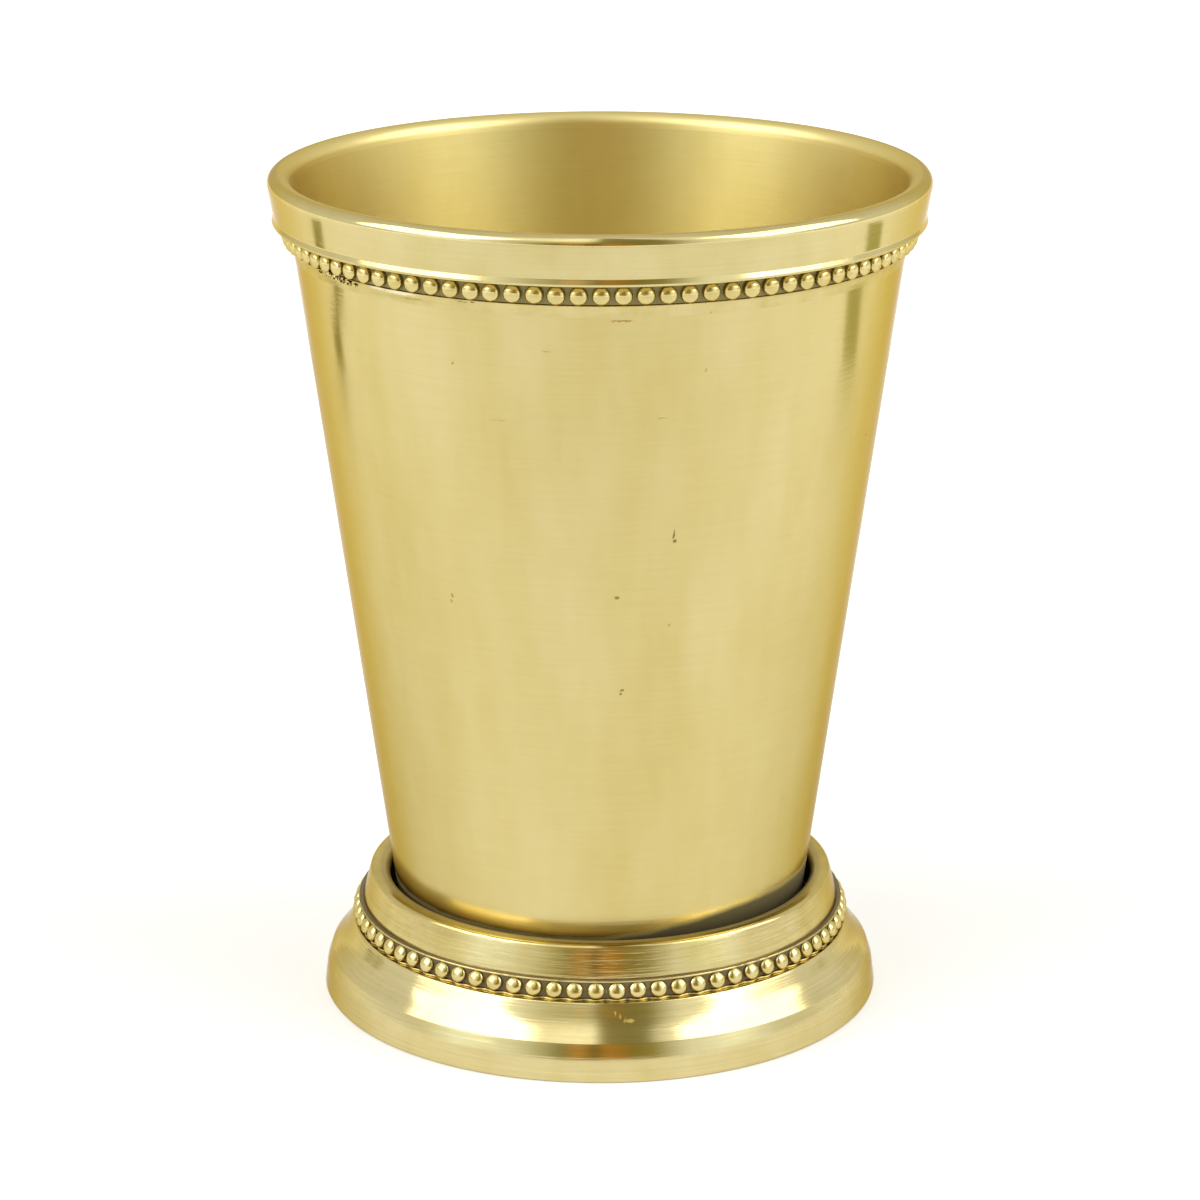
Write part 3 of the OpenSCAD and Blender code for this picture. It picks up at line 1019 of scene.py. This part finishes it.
# Flared skirt with its crease and base band
skirt = {
    "bandRadius": 35.95,
    "bandHeight": 3.2,
    "footOut": 0.4,
    "creaseIn": 0.6,
    "crease": 4.85,
    "flareTopOut": 1.3,
    "ledgeWidth": 4.3,
    "thickness": 1.0,
    "hollow": 0.3,  # how far the flare lies in from a straight slope
    "hollowRounding": 9,
    "bandRounding": 6,
    "edgeRounding": 0.3,
    "creaseRounding": 0.12,
    "arcSteps": 10,
    "rowStep": 0.5,
    "around": 360,
    "depth": 0.06,
    "waves": [(3, 1.5, 0.1), (7, 0.7, 0.1), (12, 2.9, 0.05)],
    "finish": {
        # a chip at the front where fresh brass shows, and a pin mark
        "marks": [
            ((1.9, -33.1, 8.3), 0.4, 1.3, "#E6C85C"), ((2.5, -33.2, 7.9), 0.4, 1.1, "#DDB848"),
            ((3.1, -33.4, 7.7), 0.45, 1.7, "#DDB848"), ((3.8, -33.5, 7.2), 1.2, 0.5, "#E6C85C"),
            ((20.34, -29.62, 5.4), 0.4, 0.4, "#5E5530"),
        ],
        "pale": "#DDCE98",
        "deep": "#D5C488",
        "tarnish": "#5E4E28",
        "cloudSize": 8,
        "lineStep": 0.3,
        "lineShade": 0.12,
        "lineBump": 0.07,
        "speckStep": 6,
        "speckSize": 0.22,
        "roughFrom": 0.12,
        "roughTo": 0.18,
    },
}


def hollowed(start, end):
    # the middle of a slope, drawn in from it
    slope = (Vector(end) - Vector(start)).normalized()
    middle = (Vector(start) + Vector(end)) / 2 - skirt["hollow"] * Vector((slope.y, -slope.x))
    return (middle.x, middle.y, skirt["hollowRounding"])


def makeSkirt():
    flare = collar["lowRadius"] + skirt["flareTopOut"]
    crease = skirt["bandRadius"] - skirt["creaseIn"]
    foot = skirt["bandRadius"] + skirt["footOut"]
    ledge = flare - skirt["ledgeWidth"]
    wall = skirt["thickness"]
    under = collar["low"] - wall
    corners = [
        (foot, 0, skirt["edgeRounding"]),
        (skirt["bandRadius"], skirt["bandHeight"], skirt["bandRounding"]),
        (crease, skirt["crease"], skirt["creaseRounding"]),
        hollowed((crease, skirt["crease"]), (flare, collar["low"])),
        (flare, collar["low"], skirt["edgeRounding"]),
        (ledge, collar["low"], 0),
        (ledge, under, 0),
        (flare - wall, under, 0),
        hollowed((crease - wall, skirt["crease"]), (flare - wall, under)),
        (crease - wall, skirt["crease"], 0),
        (skirt["bandRadius"] - wall, skirt["bandHeight"], 0),
        (foot - wall, 0, skirt["edgeRounding"]),
    ]
    mesh = turn(roundedOutline(corners, skirt), skirt)
    material = brass("footBrass", skirt["finish"])
    finishPiece("footSkirt", mesh, "foot_skirt", [material], sharpAngle=40)


# Wire over the seam between the collar and the skirt
footWire = {
    "stripHeight": 2.65,
    "beadUp": 1.42,
    "turnShare": 0.8,
    "tippedUp": 25,  # degrees, along the hollow that the row sits in
    "seed": 23,
    "patinaDeepest": 0.9,
    "tarnish": "#5C5040",
    "scallop": 0.3,
}


def makeFootWire():
    low = collar["low"]
    top = low + footWire["stripHeight"]
    back = collar["lowRadius"]
    front = back + bead["stripThickness"]
    edge = back + bead["edgeOut"]
    corners = [
        (back, low, 0),
        (edge, low, bead["edgeRounding"]),
        (edge, low + bead["edgeHeight"], bead["innerRounding"]),
        (front, low + bead["edgeHeight"], 0),
        (front, top - bead["edgeHeight"], 0),
        (edge, top - bead["edgeHeight"], bead["innerRounding"]),
        (edge, top, bead["edgeRounding"]),
        (back, top, 0),
    ]
    row = low + footWire["beadUp"]
    makeWire("footBeadWire", "foot_bead_wire", "footBeadBrass", footWire, corners, back, row)


# Soft solder, under the rim's strip and between the cup's bottom and the collar's floor
solder = {
    "rimHeight": 1.6,
    "rimWidth": 0.48,
    "smear": (-127, 11, 0.34),  # middle and reach in degrees, and thickness, of a thick place at the left
    "smearSlack": 0.04,
    "smearCurve": (1.15, 0.1),  # how its thickness runs down the fillet, and where on the curve it starts
    # place in mm, and width and height, of the burrs at the left end of the front
    "burrs": [
        ((-33.7, -20.0, 99.55), 0.9, 0.3), ((-32.7, -21.6, 99.5), 1.1, 0.42),
        ((-31.8, -22.9, 99.4), 0.8, 0.5), ((-30.9, -24.2, 99.3), 1.0, 0.42),
        ((-30.0, -25.3, 99.2), 0.9, 0.34), ((-29.2, -26.2, 99.15), 0.7, 0.2),
    ],
    "burrOut": 0.3,
    "burrRugged": 0.28,  # share of its size that a crumb's skin strays
    "fluxShare": 0.5,
    "seed": 5,
    # the two near-white marks are a painted highlight on the thick place of solder; the others are thin dark
    # and olive lines
    "marks": [
        ((-23.6, -30.9, 99.25), 5.0, 0.55, "#F6EFD2"), ((-26.4, -28.4, 99.3), 3.0, 0.4, "#F6EFD2"),
        ((-16.3, -35.3, 99.1), 1.8, 0.14, "#3A3018"), ((-15.0, -35.9, 99.15), 0.9, 0.2, "#3A3018"),
        ((-22.0, -31.9, 98.75), 3.2, 0.12, "#8C7A3E"),
    ],
    "footHeight": 1.6,
    "footWidth": 1.7,
    "curveSteps": 8,
    "around": 288,
    "depth": 0.02,
    "waves": [(9, 0.1, 0.0), (17, 2.2, 0.0)],
    "finish": {
        "pale": "#D6C68C",
        "deep": "#CDBB7A",
        "tarnish": "#4A3F28",
        "cloudSize": 3,
        "lineLength": 3,
        "lineStep": 0.4,
        "lineShade": 0.06,
        "lineBump": 0.06,
        "speckStep": 2.5,
        "speckSize": 0.25,
        "speckShare": 0.3,
        "speckDark": 0.6,
        "roughFrom": 0.16,
        "roughTo": 0.26,
        "drawnOut": 0.0,
    },
    "fluxFinish": {"pale": "#5E4C2C", "deep": "#352A16"},
}


def hollowCurve(start, pull, end):
    steps = solder["curveSteps"]
    return [
        start.lerp(pull, step / steps).lerp(pull.lerp(end, step / steps), step / steps)
        for step in range(steps + 1)
    ]


def addBurr(mesh, place, width, height, luck):
    # a crumb of solder with patches of burnt flux
    outward = Vector((place.x, place.y, 0)).normalized()
    sideways = Vector((-outward.y, outward.x, 0))
    crumb = bmesh.ops.create_icosphere(mesh, subdivisions=2, radius=1)
    for vert in crumb["verts"]:
        rugged = 1 + luck.uniform(-solder["burrRugged"], solder["burrRugged"])
        across, up, out = vert.co.x * width / 2, vert.co.z * height, vert.co.y * solder["burrOut"]
        vert.co = (place + (sideways * across + Vector((0, 0, up)) + outward * out) * rugged) * mm
    # in the mesh's own order, because a set's order isn't the same each run
    skin = {face for vert in crumb["verts"] for face in vert.link_faces}
    for face in mesh.faces:
        if face in skin:
            face.material_index = 1 if luck.random() < solder["fluxShare"] else 0


def makeRimSolder(material):
    top = cone["lip"] - band["height"] - rimWire["stripHeight"]
    low = top - solder["rimHeight"]
    corner = Vector((coneRadius(top), top))
    start = Vector((coneRadius(low), low))
    end = corner + Vector((solder["rimWidth"], 0))
    mesh = turn([corner] + hollowCurve(start, corner, end), solder)
    middle, reach, thickness = solder["smear"]
    rate, shift = solder["smearCurve"]
    for vert in mesh.verts:
        radius = math.hypot(vert.co.x, vert.co.y) / mm
        off = abs(math.degrees(math.atan2(vert.co.y, vert.co.x)) - middle) / reach
        if off < 1 and radius > coneRadius(vert.co.z / mm) - solder["smearSlack"]:
            down = (top - vert.co.z / mm) / solder["rimHeight"]
            bulge = thickness * (1 - off * off) * math.sin(math.pi * min(1, down * rate + shift))
            vert.co.xy *= (radius + max(0, bulge)) / radius
    luck = random.Random(solder["seed"])
    for place, width, height in solder["burrs"]:
        addBurr(mesh, Vector(place), width, height, luck)
    fluxMaterial = brass("darkFlux", solder["finish"] | solder["fluxFinish"])
    finishPiece("rimSolder", mesh, "rim_solder", [material, fluxMaterial], sharpAngle=60)


def makeFootSolder(material):
    # the part that shows is the fillet between the cup's corner and the collar's floor
    bottom = cone["bottomRadius"]
    seat = cone["seat"]
    top = seat + solder["footHeight"]
    fillet = hollowCurve(
        Vector((bottom + solder["footWidth"], seat)),
        Vector((bottom, seat + solder["footHeight"] / 2)),
        Vector((coneRadius(top), top)),
    )
    half = (math.pi / 2 + math.atan(cone["slope"])) / 2
    bend = cup["corner"]
    middle = Vector((bottom - bend / math.tan(half), seat + bend))
    turnDown = -math.pi / 2
    turnUp = -math.atan(cone["slope"])
    cupCorner = []
    for step in range(solder["curveSteps"] + 1):
        turned = turnUp + (turnDown - turnUp) * step / solder["curveSteps"]
        cupCorner.append(middle + bend * Vector((math.cos(turned), math.sin(turned))))
    mesh = turn(fillet + cupCorner, solder)
    finishPiece("footSolder", mesh, "foot_solder", [material], sharpAngle=60)


makeCup()
makeBand()
makeRimWire()
makeCollar()
makeSkirt()
makeFootWire()
makeRimSolder(brass("solderPaintedHighlight", solder["finish"] | {"marks": solder["marks"]}))
makeFootSolder(brass("dullSolder", solder["finish"] | solder["fluxFinish"]))

print("pieces finished")
